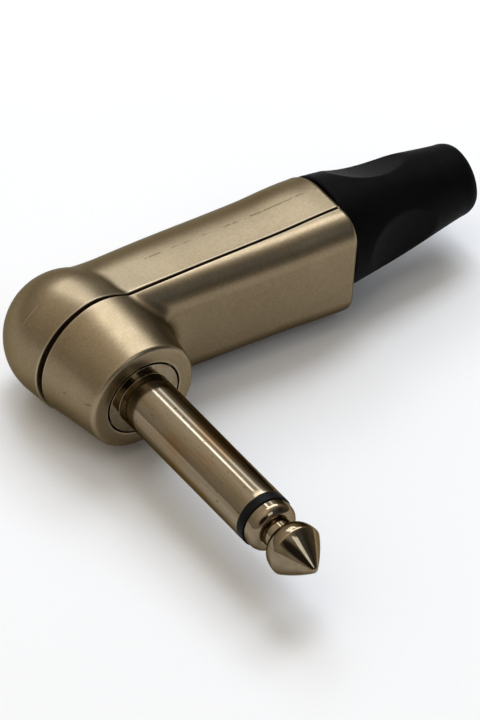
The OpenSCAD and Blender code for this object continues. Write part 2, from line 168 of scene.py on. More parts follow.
def turnPiece(profile, axis, origin, around, shape=None):
    # revolves a closed profile of (axial, radius) about an axis through origin
    axis, origin = np.asarray(axis, float), np.asarray(origin, float)
    start = np.array([0.0, 0.0, 1.0])
    other = np.cross(axis, start)
    angles = np.arange(around) * 2 * math.pi / around
    rings, points, faces = [], [], []
    for place, radius in profile:
        if radius < tiny:
            rings.append([len(points)])
            points.append(origin + axis * place)
            continue
        ring = []
        for angle in angles:
            r = radius if shape is None else shape(place, radius, angle)
            ring.append(len(points))
            points.append(origin + axis * place
                          + r * (math.cos(angle) * start + math.sin(angle) * other))
        rings.append(ring)
    for i in range(len(rings)):
        a, b = rings[i], rings[(i + 1) % len(rings)]
        if len(a) == 1 and len(b) == 1:
            continue
        for k in range(around):
            n = (k + 1) % around
            if len(a) == 1:
                faces.append((a[0], b[n], b[k]))
            elif len(b) == 1:
                faces.append((a[k], a[n], b[0]))
            else:
                faces.append((a[k], a[n], b[n], b[k]))
    return np.array(points), faces


def sharpen(piece, degrees):
    # flat faces stay flat beside the rounded edges
    piece.data.set_sharp_from_angle(angle=math.radians(degrees))


# castings: distance functions in millimetres, meshed where they are zero

casting = {
    "faceRound": 0.35, "rimRound": 0.09, "endRound": 0.6, "innerRound": 0.05,
    # the face falls back towards its edge
    "shoulderDia": 10.4, "shoulderBend": 1.2, "shoulderSlope": 0.24,
    "rootFillet": 2.0,      # between boss and arm
    # fillet between dome and arm, wider towards the back: (depth, radius)
    "domeFillet": [(8.6, 1.0), (13.0, 2.4), (17.0, 7.0)],
    "domeDia": 14.885, "domeShift": 1.0, "skirtDia": 15.9,
    "armHeight": 13.5,
    # the arm's height along it, with its waist before the end: (place, height)
    "heights": [(0, 13.5), (10, 13.66), (23, 13.4), (28.5, 13.68), (31.5, 13.56)],
    # how far the flat sides lean in at the joint, from here on and over these lengths at both ends
    "lean": 0.09, "leanFrom": 4.0, "leanRise": 6.0, "leanFall": 4.0,
    # how far the head draws in beside the arm, and where it does so, in degrees round the head
    "bossTuck": 0.24, "domeTuck": 0.5, "tuckFrom": 25.0, "tuckRise": 30.0, "tuckTo": 105.0, "tuckFall": 40.0,
    "tuckBack": 12.6, "tuckDeep": 4.0,      # the dome's fades away up to this depth, over this length
    "depthAtHead": 5.75, "depthAtEnd": 7.3, "cornerRound": 3.0,
    "blindEnd": -2.0,       # where the arm stops inside the head
    "wall": 1.5, "seamFlare": 0.3,
    "seatX": 20.0, "bulkhead": 1.6, "seatDia": 11.0, "sleeveHoleDia": 8.64,
    "keyWidth": 2.0, "keySpan": 12.2, "keyLength": 7.0,
    "flangeDia": 9.2, "flangeDeep": 0.9, "spigotDia": 7.84, "frontWall": 3.3,
    "lipInset": 0.95, "lipWall": 0.55, "lipFront": 7.95, "lipBack": 9.3, "lipGap": 0.1,
    "past": 0.3, "holePast": 0.4,       # a cut runs past the face that it opens by this much
}

# the castings' mesh and how closely it follows the forms
meshing = {
    "step": 0.2, "growth": 0.35,        # spacing of the grid, and how fast it widens from fine places
    "rounds": 4, "reach": 0.12,         # the points settle in these rounds, no further off than this
    "probe": 0.004, "normalProbe": 0.03, "filletProbe": 0.01,       # half the span of a slope
    "leastSlope": 0.05,
    "wearAndHighlightProbe": 0.22, "wearAndHighlightGain": 0.12,        # reach and strength of the lighter colour along edges, partly wear and partly a painted highlight
}


def joinFilleted(formA, formB, r, x, y, z):
    # union with the hollow fillet that a ball of radius r leaves where it rolls along both
    x, y, z, r = (np.array(v) for v in np.broadcast_arrays(x, y, z, r))
    a, b = formA(x, y, z), formB(x, y, z)
    out = np.minimum(a, b)
    # the arm's blind end lies inside the head, so nothing is filled there
    deepest, blind, flattest = -1.0, 0.2, 0.99
    near = (a < r) & (b < r) & (out > deepest) & (x > blind)
    r = r[near]
    p = np.stack([x[near], y[near], z[near]], 1)
    probe = meshing["filletProbe"]
    slopeA, slopeB = slopeOf(formA, p, probe), slopeOf(formB, p, probe)
    c = np.clip((slopeA * slopeB).sum(1), -flattest, flattest)
    u, v = r - a[near], r - b[near]
    between = (u > c * v) & (v > c * u)
    rolled = r - np.sqrt(np.maximum((u * u + v * v - 2 * c * u * v) / (1 - c * c), 0))
    out[near] = np.where(between, rolled, out[near])
    return out


def cutRound(a, b, r):
    # what lies in both forms, its edge rounded by r
    return np.minimum(-r, np.maximum(a, b)) + np.hypot(np.maximum(r + a, 0), np.maximum(r + b, 0))


def smoothStep(t):
    t = np.clip(t, 0, 1)
    return t * t * (3 - 2 * t)


def armHigh(x):
    # half the arm's height at x
    places = casting["heights"]
    high = places[0][1] + 0 * x
    for (start, before), (end, after) in zip(places, places[1:]):
        high = high + (after - before) * smoothStep((x - start) / (end - start))
    return high / 2


def headTuck(x, z):
    # one beside the arm, nothing on the far side of the head and in front of the arm
    c = casting
    turn = np.degrees(np.arctan2(np.abs(z), x))
    return (smoothStep((c["tuckTo"] - turn) / c["tuckFall"])
            * smoothStep((turn - c["tuckFrom"]) / c["tuckRise"]))


def armSection(x, y, z, inset=0.0):
    c = casting
    high = armHigh(x)
    deep = c["depthAtHead"] + (c["depthAtEnd"] - c["depthAtHead"]) * x / plug["armEnd"]
    front = plug["armY"] - y
    r = c["cornerRound"]
    lean = (c["lean"] * smoothStep((x - c["leanFrom"]) / c["leanRise"])
            * smoothStep((plug["armEnd"] - x) / c["leanFall"]))
    lean = lean * smoothStep(front / (plug["armY"] - plug["jointY"]))
    qz, qy = np.abs(z) - high + lean + r, front - deep + r
    boxy = np.hypot(np.maximum(qz, 0), np.maximum(qy, 0)) + np.minimum(np.maximum(qz, qy), 0) - r
    half = np.hypot(z, front) - high
    return np.where(front > 0, boxy, half) + inset


def armForm(x, y, z):
    body = cutRound(armSection(x, y, z), x - plug["armEnd"], casting["endRound"])
    return np.maximum(body, casting["blindEnd"] - x)


def bossForm(x, y, z):
    r0, r1 = plug["faceDia"] / 2, plug["bossDia"] / 2
    slope = (r1 - r0) / plug["jointY"]
    out = np.hypot(x, z)
    side = (out - r0 - slope * y) / math.hypot(1, slope)
    side = side + casting["bossTuck"] * headTuck(x, z) * np.clip(y / plug["jointY"], 0, 1) ** 2
    bend = casting["shoulderBend"]
    past = np.maximum(out - casting["shoulderDia"] / 2, 0)
    fall = casting["shoulderSlope"] * np.where(past < bend, past ** 2 / (2 * bend), past - bend / 2)
    return cutRound(side, fall - y, casting["faceRound"])


def domeForm(x, y, z, inset=0.0):
    # a ball on a skirt, turned about an axis that leans away from the arm
    c = casting
    rise = plug["armY"] - plug["jointY"]
    far = math.hypot(c["domeShift"], rise)
    lean = (-c["domeShift"] / far, rise / far)
    ball = c["domeDia"] / 2 - inset
    foot = c["skirtDia"] / 2 - inset
    touch = math.acos(ball / math.hypot(foot, far)) - math.atan2(far, foot)
    along = x * lean[0] + (y - plug["jointY"]) * lean[1]
    across = np.sqrt((x - along * lean[0]) ** 2 + (y - plug["jointY"] - along * lean[1]) ** 2 + z ** 2)
    up = along - far
    straight = across * math.cos(touch) + up * math.sin(touch) - ball
    below = up * math.cos(touch) - across * math.sin(touch) < 0
    tuck = c["domeTuck"] * headTuck(x, z) * smoothStep((c["tuckBack"] - y) / c["tuckDeep"])
    return np.where(below, straight, np.hypot(across, up) - ball) + tuck


def cableSpace(x, y, z):
    # seat of the clamp and gland, its keyways, and the bulkhead's hole
    c = casting
    off = np.hypot(y - plug["armY"], z)
    seat = np.maximum(off - c["seatDia"] / 2, c["seatX"] - x)
    key = np.maximum(np.maximum(np.abs(y - plug["armY"]) - c["keyWidth"] / 2, np.abs(z) - c["keySpan"] / 2),
                     np.maximum(c["seatX"] - x, x - c["seatX"] - c["keyLength"]))
    hole = np.maximum(off - c["sleeveHoleDia"] / 2,
                      np.abs(x - c["seatX"]) - c["bulkhead"] - c["holePast"])
    return np.minimum(np.minimum(seat, key), hole)


def wireSpace(x, y, z):
    # room for the wires between head and bulkhead
    c = casting
    return np.maximum(np.maximum(armSection(x, y, z, c["wall"]), x - c["seatX"] + c["bulkhead"]), -x)


def jointOutline(x, z, inset):
    # the castings' outline where they meet
    ring = np.hypot(x, z) - plug["bossDia"] / 2
    bar = np.maximum(np.abs(z) - casting["armHeight"] / 2, -x)
    return np.minimum(ring, bar) + inset


def bodyShellForm(x, y, z):
    c = casting
    rim = plug["jointY"] - plug["jointGap"] / 2
    outer = joinFilleted(bossForm, armForm, c["rootFillet"], x, y, z)
    # the joint widens away from the arm
    farSide = np.clip((plug["bossDia"] / 4 - x) / (0.75 * plug["bossDia"]), 0, 1)
    wedge = c["seamFlare"] * farSide ** 2
    outer = cutRound(outer, y - rim + wedge, c["rimRound"])
    ring = np.hypot(x, z)
    flange = np.maximum(ring - c["flangeDia"] / 2, y - c["flangeDeep"])
    spigot = np.maximum(ring - c["spigotDia"] / 2, y - c["frontWall"] - c["past"])
    slope = (plug["bossDia"] - plug["faceDia"]) / 2 / plug["jointY"]
    room = np.maximum(ring - plug["faceDia"] / 2 - slope * y + c["wall"], c["frontWall"] - y)
    wires = np.maximum(wireSpace(x, y, z), c["frontWall"] - y)
    rebate = np.maximum(jointOutline(x, z, c["lipInset"] - c["lipGap"]),
                        np.maximum(c["lipFront"] - y, x - c["seatX"] + c["bulkhead"]))
    hollow = np.minimum(np.minimum(flange, spigot), np.minimum(room, wires))
    hollow = np.minimum(np.minimum(hollow, rebate), cableSpace(x, y, z))
    return cutRound(outer, -hollow, c["innerRound"])


def coverForm(x, y, z):
    c = casting
    rim = plug["jointY"] + plug["jointGap"] / 2
    outer = joinFilleted(domeForm, armForm, np.interp(y, *zip(*c["domeFillet"])), x, y, z)
    outer = cutRound(outer, rim - y, c["rimRound"])
    hollow = np.minimum(np.minimum(domeForm(x, y, z, c["wall"]), wireSpace(x, y, z)), cableSpace(x, y, z))
    shell = cutRound(outer, -hollow, c["innerRound"])
    ring = jointOutline(x, z, c["lipInset"])
    lip = np.maximum(np.maximum(ring, -ring - c["lipWall"]),
                     np.maximum(np.maximum(c["lipFront"] - y, y - c["lipBack"]),
                                x - c["seatX"] + c["bulkhead"] + c["lipGap"]))
    return np.minimum(shell, lip)


def gradedLine(low, high, fine):
    # grid places from low to high, closer together round each (place, reach, spacing)
    places = [low]
    while places[-1] < high:
        here = meshing["step"]
        for place, reach, spacing in fine:
            away = max(0.0, abs(places[-1] - place) - reach)
            here = min(here, spacing + meshing["growth"] * away)
        places.append(places[-1] + here)
    return np.array(places)


def meshForm(form, xs, ys, zs):
    # one point in each grid cell that the surface crosses, joined across the crossing edges
    grid = form(xs[:, None, None], ys[None, :, None], zs[None, None, :])
    inside = grid < 0
    shape = tuple(n - 1 for n in grid.shape)
    total, count = np.zeros(shape + (3,)), np.zeros(shape)
    lines = (xs, ys, zs)
    crossings = []
    for d in range(3):
        lower = [slice(None)] * 3
        upper = [slice(None)] * 3
        lower[d], upper[d] = slice(0, -1), slice(1, None)
        a, b = grid[tuple(lower)], grid[tuple(upper)]
        hit = np.argwhere(inside[tuple(lower)] != inside[tuple(upper)])
        va, vb = a[tuple(hit.T)], b[tuple(hit.T)]
        t = va / (va - vb)
        spot = np.stack([lines[k][hit[:, k]] for k in range(3)], 1)
        spot[:, d] += t * (lines[d][hit[:, d] + 1] - lines[d][hit[:, d]])
        e, f = [k for k in range(3) if k != d]
        for de in (0, 1):
            for df in (0, 1):
                cell = hit.copy()
                cell[:, e] -= de
                cell[:, f] -= df
                ok = ((cell >= 0) & (cell < shape)).all(1)
                np.add.at(total, tuple(cell[ok].T), spot[ok])
                np.add.at(count, tuple(cell[ok].T), 1)
        crossings.append((d, e, f, hit, va < 0))
    number = -np.ones(shape, int)
    used = count > 0
    number[used] = np.arange(used.sum())
    points = total[used] / count[used][:, None]
    faces = []
    for d, e, f, hit, lowInside in crossings:
        ring = []
        for de, df in ((0, 0), (1, 0), (1, 1), (0, 1)):
            cell = hit.copy()
            cell[:, e] -= de
            cell[:, f] -= df
            ring.append(number[tuple(cell.T)])
        quad = np.stack(ring, 1)
        flip = lowInside if d != 1 else ~lowInside
        quad[~flip] = quad[~flip][:, ::-1]
        faces.append(quad)
    return points, np.concatenate(faces)


def slopeOf(form, p, probe):
    # direction in which a form's distance grows
    out = np.zeros_like(p)
    for k in range(3):
        d = np.zeros(3)
        d[k] = probe
        out[:, k] = form(*(p + d).T) - form(*(p - d).T)
    return out / (2 * probe)


def settle(form, points):
    # moves the points onto the surface
    m = meshing
    start = points.copy()
    for _ in range(m["rounds"]):
        slope = slopeOf(form, points, m["probe"])
        size = np.maximum((slope ** 2).sum(1), m["leastSlope"])
        points = points - (form(*points.T) / size)[:, None] * slope
        away = points - start
        far = np.linalg.norm(away, axis=1)
        points = start + away * np.minimum(1, m["reach"] / np.maximum(far, tiny))[:, None]
    return points


def edgeWearAndHighlight(form, points):
    # how sharply the surface turns, from nothing on flat places to one on edges: it sets the lighter edge
    # colour, partly wear and partly a painted highlight
    around = np.zeros(len(points))
    reach = meshing["wearAndHighlightProbe"]
    for k in range(3):
        d = np.zeros(3)
        d[k] = reach
        around += form(*(points + d).T) + form(*(points - d).T)
    around -= 6 * form(*points.T)
    return np.clip(around / (reach ** 2) * meshing["wearAndHighlightGain"], 0, 1)


def castPiece(name, form, xs, ys, zs, node):
    points, faces = meshForm(form, xs, ys, zs)
    points = settle(form, points)
    normals = slopeOf(form, points, meshing["normalProbe"])
    normals /= np.maximum(np.linalg.norm(normals, axis=1), tiny)[:, None]
    piece = makePiece(name, points, faces.tolist(), satin, "housing", normals)
    wearAndHighlight = edgeWearAndHighlight(form, points)
    # the edges' lighter colour, partly rubbed wear and partly a painted highlight along the rims
    layer = piece.data.color_attributes.new(name="rimWearAndHighlight", type="FLOAT_COLOR", domain="POINT")
    colours = np.ones((len(points), 4))
    colours[:, :3] = wearAndHighlight[:, None]
    layer.data.foreach_set("color", colours.ravel())
    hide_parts(node)
    print(name, len(points), "points,", len(faces), "faces")


# materials

def newMaterial(name):
    material = bpy.data.materials.new(name)
    material.use_nodes = True
    tree = material.node_tree
    shader = tree.nodes["Principled BSDF"]
    return material, tree, shader


def addNode(tree, kind, **values):
    node = tree.nodes.new(kind)
    for key, value in values.items():
        setattr(node, key, value)
    return node


def feed(tree, value, socket):
    # a constant is set on the socket itself, another node's output is linked to it
    if isinstance(value, bpy.types.NodeSocket):
        tree.links.new(value, socket)
    else:
        socket.default_value = value


def objectPlace(tree):
    return addNode(tree, "ShaderNodeTexCoord").outputs["Object"]


def noiseNode(tree, scale, detail=3.0, stretch=None):
    place = objectPlace(tree)
    if stretch:
        mapping = addNode(tree, "ShaderNodeMapping")
        mapping.inputs["Scale"].default_value = stretch
        tree.links.new(place, mapping.inputs["Vector"])
        place = mapping.outputs["Vector"]
    noise = addNode(tree, "ShaderNodeTexNoise")
    noise.inputs["Scale"].default_value = scale
    noise.inputs["Detail"].default_value = detail
    noise.inputs["Roughness"].default_value = 0.55
    tree.links.new(place, noise.inputs["Vector"])
    return noise.outputs["Fac"]


def rampNode(tree, source, stops):
    ramp = addNode(tree, "ShaderNodeValToRGB")
    while len(ramp.color_ramp.elements) < len(stops):
        ramp.color_ramp.elements.new(0.5)
    for element, (place, colour) in zip(ramp.color_ramp.elements, stops):
        element.position = place
        element.color = tuple(colour) + (1.0,)
    tree.links.new(source, ramp.inputs["Fac"])
    return ramp.outputs["Color"]


def rangeNode(tree, source, low, high, fromLow=0.0, fromHigh=1.0):
    node = addNode(tree, "ShaderNodeMapRange")
    node.inputs["From Min"].default_value = fromLow
    node.inputs["From Max"].default_value = fromHigh
    node.inputs["To Min"].default_value = low
    node.inputs["To Max"].default_value = high
    tree.links.new(source, node.inputs["Value"])
    return node.outputs["Result"]


def mixNode(tree, a, b, factor, blend="MIX"):
    mix = addNode(tree, "ShaderNodeMix", data_type="RGBA", blend_type=blend)
    feed(tree, factor, mix.inputs["Factor"])
    feed(tree, a, mix.inputs["A"])
    feed(tree, b, mix.inputs["B"])
    return mix.outputs["Result"]


def dotNode(tree, vector, way):
    dot = addNode(tree, "ShaderNodeVectorMath", operation="DOT_PRODUCT")
    tree.links.new(vector, dot.inputs[0])
    dot.inputs[1].default_value = way
    return dot.outputs["Value"]


def bumpNode(tree, shader, source, distance, strength, before=None):
    bump = addNode(tree, "ShaderNodeBump")
    bump.inputs["Distance"].default_value = distance
    bump.inputs["Strength"].default_value = strength
    tree.links.new(source, bump.inputs["Height"])
    if before is not None:
        tree.links.new(before, bump.inputs["Normal"])
    tree.links.new(bump.outputs["Normal"], shader.inputs["Normal"])
    return bump.outputs["Normal"]


# marks of use and of the mould: ends, the way the surface faces, width, depth of tone, how broken
dark = (0.05, 0.035, 0.02)
marks = [
    # fine scratch on the dome
    {"from": (-7.3, 12.70, 4.0), "to": (-5.06, 12.69, 6.23), "faces": (-0.82, 0.07, 0.57),
     "width": 0.05, "tone": (0.62, 0.54, 0.44), "full": 0.4, "broken": 0.3},
    # the castings' ground-off flash line along the arm, above and below
    {"from": (5.0, 12.35, 6.8), "to": (31.0, 12.35, 6.8), "faces": (0, 0, 1),
     "width": 0.13, "tone": dark, "full": 0.65, "broken": 0.47},
    {"from": (5.0, 12.35, -6.8), "to": (31.0, 12.35, -6.8), "faces": (0, 0, -1),
     "width": 0.13, "tone": dark, "full": 0.65, "broken": 0.47},
    # ticks on the boss
    {"from": (-7.22, 4.98, 0.21), "to": (-7.09, 4.28, 0.69), "faces": (-1, 0, 0.1),
     "width": 0.12, "tone": dark, "full": 0.55, "broken": 0.2},
    {"from": (-6.68, 1.67, 0.92), "to": (-6.44, 0.56, 1.38), "faces": (-0.9, 0, -0.3),
     "width": 0.12, "tone": dark, "full": 0.55, "broken": 0.3},
]


def markNode(tree, mark):
    # one on a thin line across the surface, with gaps in it, and nothing elsewhere
    start, end = Vector(mark["from"]), Vector(mark["to"])
    along = (end - start).normalized()
    across = along.cross(Vector(mark["faces"])).normalized()
    offset = addNode(tree, "ShaderNodeVectorMath", operation="SUBTRACT")
    tree.links.new(objectPlace(tree), offset.inputs[0])
    offset.inputs[1].default_value = start * mm
    onward, aside, outward = (dotNode(tree, offset.outputs["Vector"], way)
                              for way in (along, across, across.cross(along)))
    away = addNode(tree, "ShaderNodeMath", operation="ABSOLUTE")
    tree.links.new(aside, away.inputs[0])
    long, wide, taper = (end - start).length * mm, mark["width"] * mm, 0.3 * mm
    core = 0.35 * wide                          # full tone this far from the line's middle
    under, surface = -2.0 * mm, -1.5 * mm       # nothing below the surface that it lies on
    gaps = noiseNode(tree, 700, 2.0)
    masks = [rangeNode(tree, away.outputs["Value"], mark["full"], 0.0, core, wide),
             rangeNode(tree, onward, 0.0, 1.0, 0.0, taper),
             rangeNode(tree, onward, 1.0, 0.0, long - taper, long),
             rangeNode(tree, outward, 0.0, 1.0, under, surface),
             rangeNode(tree, gaps, 0.0, 1.0, mark["broken"], mark["broken"] + 0.1)]
    out = masks[0]
    for mask in masks[1:]:
        times = addNode(tree, "ShaderNodeMath", operation="MULTIPLY")
        tree.links.new(out, times.inputs[0])
        tree.links.new(mask, times.inputs[1])
        out = times.outputs["Value"]
    return out


white = (1.0, 1.0, 1.0)
satinLook = {
    # rim: lighter colour on convex edges, partly wear and partly a painted highlight
    "base": (0.257, 0.198, 0.121), "dull": (0.225, 0.171, 0.102), "rim": (0.39, 0.32, 0.22),
    "atEdges": (0.45, 0.43, 0.38), "grain": (0.86, 0.86, 0.86), "rough": (0.29, 0.40),
}


def satinNickel():
    look = satinLook
    material, tree, shader = newMaterial("satinNickel")
    shader.inputs["Metallic"].default_value = 1.0
    shader.inputs["Specular Tint"].default_value = look["atEdges"] + (1.0,)
    patches = rampNode(tree, noiseNode(tree, 120, 4.0), [(0.3, look["dull"]), (0.7, look["base"])])
    # blasted grain, a little lighter and darker from spot to spot
    grain = rampNode(tree, noiseNode(tree, 3400, 2.0), [(0.35, look["grain"]), (0.65, white)])
    # edges lightened, partly rubbed wear and partly a painted highlight on the rims
    wearAndHighlight = addNode(tree, "ShaderNodeAttribute", attribute_name="rimWearAndHighlight")
    colour = mixNode(tree, patches, grain, 1.0, "MULTIPLY")
    colour = mixNode(tree, colour, look["rim"] + (1.0,), wearAndHighlight.outputs["Fac"])
    for mark in marks:
        colour = mixNode(tree, colour, mark["tone"] + (1.0,), markNode(tree, mark))
    tree.links.new(colour, shader.inputs["Base Color"])
    tree.links.new(rangeNode(tree, noiseNode(tree, 700), *look["rough"]), shader.inputs["Roughness"])
    first = bumpNode(tree, shader, noiseNode(tree, 350, 2.0), 0.00002, 0.25)
    bumpNode(tree, shader, noiseNode(tree, 3400, 2.0), 0.00002, 0.3, first)
    return material


sleeveLook = {
    "base": (0.252, 0.206, 0.142), "dull": (0.2, 0.153, 0.094), "atEdges": (0.4, 0.37, 0.32),
    "worn": (1.0, 0.79, 0.62), "pits": (0.3, 0.27, 0.25), "rough": (0.07, 0.17),
}
tipLook = {
    "base": (0.25, 0.205, 0.14), "dull": (0.205, 0.158, 0.1), "atEdges": (0.42, 0.39, 0.33),
    "worn": (0.95, 0.88, 0.78), "pits": (0.6, 0.57, 0.55), "rough": (0.035, 0.09),
}


def polishedNickel(name, look):
    material, tree, shader = newMaterial(name)
    shader.inputs["Metallic"].default_value = 1.0
    shader.inputs["Specular Tint"].default_value = look["atEdges"] + (1.0,)
    # streaks along the finger
    tint = rampNode(tree, noiseNode(tree, 1300, 4.0, stretch=(1, 0.05, 1)),
                    [(0.35, look["dull"]), (0.6, look["base"])])
    # warmer worn patches, and pits where the plating has gone
    patches = rampNode(tree, noiseNode(tree, 260, stretch=(1, 0.35, 1)),
                       [(0.46, white), (0.6, look["worn"])])
    pits = rampNode(tree, noiseNode(tree, 3600, 2.0, stretch=(1, 0.5, 1)),
                    [(0.26, look["pits"]), (0.33, white)])
    # the socket wipes the finger, not its flange
    parts = addNode(tree, "ShaderNodeSeparateXYZ")
    tree.links.new(objectPlace(tree), parts.inputs["Vector"])
    wiped = rangeNode(tree, parts.outputs["Y"], 0.0, 1.0, -1.5 * mm, -4.0 * mm)
    for layer in (patches, pits):
        tint = mixNode(tree, tint, layer, wiped, "MULTIPLY")
    tree.links.new(tint, shader.inputs["Base Color"])
    tree.links.new(rangeNode(tree, noiseNode(tree, 900, stretch=(1, 0.15, 1)), *look["rough"]),
                   shader.inputs["Roughness"])
    # fine rings from turning, and marks from use along the finger
    rings = bumpNode(tree, shader, noiseNode(tree, 400, 2.0, stretch=(0.05, 14, 0.05)), 0.000004, 0.3)
    bumpNode(tree, shader, noiseNode(tree, 1900, stretch=(1, 0.12, 1)), 0.000006, 0.35, rings)
    return material


# plain finishes: two tones with the noise between them, roughness with its noise, and bumps;
# a noise is (scale, detail) and a bump (scale, detail, height in metres, strength)
plainLooks = {
    "blackMoulding": {
        "tones": ((0.004, 0.004, 0.004), (0.008, 0.008, 0.0075)), "patches": (500, 3.0),
        "rough": (0.35, 0.5), "roughNoise": (1200, 3.0), "bumps": [(4000, 3.0, 0.00001, 0.3)],
        "specular": 0.05,
    },
    "bootRubber": {
        "tones": ((0.0016, 0.0016, 0.0019), (0.0034, 0.0034, 0.0034)), "patches": (220, 4.0),
        "rough": (0.5, 0.62), "roughNoise": (1600, 3.0),
        "bumps": [(300, 2.0, 0.00004, 0.25), (3600, 2.0, 0.00002, 0.4)],
        "specular": 0.035,
    },
    "clearMoulding": {
        "tones": ((0.70, 0.68, 0.62), (0.78, 0.77, 0.72)), "patches": (500, 3.0),
        "rough": (0.4, 0.5), "roughNoise": (1500, 3.0), "bumps": [(3000, 3.0, 0.00001, 0.3)],
    },
    "tinnedBrass": {
        "tones": ((0.62, 0.60, 0.55), (0.76, 0.75, 0.71)), "patches": (700, 4.0),
        "rough": (0.25, 0.42), "roughNoise": (1500, 3.0), "bumps": [(2600, 3.0, 0.00001, 0.35)],
        "metallic": 1.0,
    },
}


def plainMaterial(name):
    look = plainLooks[name]
    material, tree, shader = newMaterial(name)
    darker, lighter = look["tones"]
    shade = rampNode(tree, noiseNode(tree, *look["patches"]), [(0.3, darker), (0.7, lighter)])
    tree.links.new(shade, shader.inputs["Base Color"])
    if "metallic" in look:
        shader.inputs["Metallic"].default_value = look["metallic"]
    if "specular" in look:
        shader.inputs["Specular IOR Level"].default_value = look["specular"]
    tree.links.new(rangeNode(tree, noiseNode(tree, *look["roughNoise"]), *look["rough"]),
                   shader.inputs["Roughness"])
    before = None
    for scale, detail, height, strength in look["bumps"]:
        before = bumpNode(tree, shader, noiseNode(tree, scale, detail), height, strength, before)
    return material


satin = satinNickel()
polished = polishedNickel("polishedNickel", sleeveLook)
polishedTip = polishedNickel("polishedTip", tipLook)
blackPlastic, rubber, clearPlastic, tinned = (plainMaterial(name) for name in plainLooks)
print("materials made")


# the two castings

# the grids reach just past the castings, and are finer at the arm's end, bulkhead, face and joint
half = plug["bossDia"] / 2 + 0.35
across = gradedLine(-half, half, [])
alongArm = gradedLine(-8.9, plug["armEnd"] + 0.2,
                      [(plug["armEnd"] - 0.2, 0.4, 0.07), (casting["seatX"] - casting["bulkhead"], 0.1, 0.1)])
bodyDepth = gradedLine(-0.2, plug["jointY"] + 0.1, [(0.4, 0.5, 0.1), (plug["jointY"] - 0.4, 0.35, 0.05)])
coverDepth = gradedLine(casting["lipFront"] - 0.2, plug["armY"] + 7.6, [(plug["jointY"] + 0.3, 0.25, 0.05)])
castPiece("bodyShell", bodyShellForm, alongArm, bodyDepth, across, "body_shell")
castPiece("coverShell", coverForm, alongArm, coverDepth, across, "cover")


# finger: sleeve, black ring and tip, turned about the finger's axis

finger = {
    "flangeDia": 8.8, "flangeThick": 0.9, "spigotDia": 7.8, "spigotBack": 3.3, "rimDia": 8.5, "rimBack": 3.8,
    "boreDia": 3.44, "ringSpigotDia": 4.84, "ringSpigot": 1.5, "seatFit": 0.02,
    # roundings: the rivet's rim and foot, the flange behind and in front with its groove, and the ends
    "rimRound": 0.15, "rimFoot": 0.1, "flangeBack": 0.1, "flangeFront": 0.05, "groove": 0.06,
    "mouthRound": 0.1, "ringFront": 0.1, "ringBack": 0.06, "barrelRound": 0.06, "shoulderRound": 0.05,
    "barrelDia": 6.0, "barrelLength": 0.7, "shoulderLength": 1.2, "neckDia": 3.6, "neckLength": 1.2,
    "headDia": 6.3, "flareLength": 2.2, "noseLength": 3.7, "pointRound": 0.6, "noseBulge": 0.15,
    "rodBack": 5.9, "rivetDia": 3.4, "rivetLong": 0.6,
    "around": 160,          # points in each ring of the mesh
}
towardsPoint = (0.0, -1.0, 0.0)


def makeSleeve():
    f, long = finger, plug["sleeveLength"]
    bore, rim, spigot, flange = (f[k] / 2 for k in ("boreDia", "rimDia", "spigotDia", "flangeDia"))
    barrel, mouth = plug["fingerDia"] / 2, f["ringSpigotDia"] / 2
    profile = roundCorners([
        (-f["rimBack"], bore, 0), (-f["rimBack"], rim, f["rimRound"]),
        (-f["spigotBack"], rim, f["rimFoot"]), (-f["spigotBack"], spigot, 0),
        (-f["flangeThick"], spigot, 0), (-f["flangeThick"], flange, f["flangeBack"]),
        (0, flange, f["flangeFront"]), (0, barrel, f["groove"]),
        (long, barrel, f["mouthRound"]), (long, mouth, 0),
        (long - f["ringSpigot"], mouth, 0), (long - f["ringSpigot"], bore, 0),
    ])
    points, faces = turnPiece(fillProfile(profile, 1.5), towardsPoint, (0, 0, 0), f["around"])
    piece = makePiece("fingerSleeve", points, faces, polished, "housing")
    sharpen(piece, 40)
    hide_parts("finger_sleeve")


def makeRing():
    f, long = finger, plug["sleeveLength"]
    r, bore = plug["fingerDia"] / 2, plug["rodDia"] / 2 + f["seatFit"]
    spigot, end = f["ringSpigotDia"] / 2 - f["seatFit"], long + plug["ringLength"]
    profile = roundCorners([
        (long - f["ringSpigot"], bore, 0), (long - f["ringSpigot"], spigot, 0),
        (long, spigot, 0), (long, r, f["ringBack"]), (end, r, f["ringFront"]), (end, bore, 0),
    ])
    points, faces = turnPiece(profile, towardsPoint, (0, 0, 0), f["around"])
    piece = makePiece("insulatorRing", points, faces, blackPlastic, "housing")
    sharpen(piece, 40)
    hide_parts("insulator_ring")


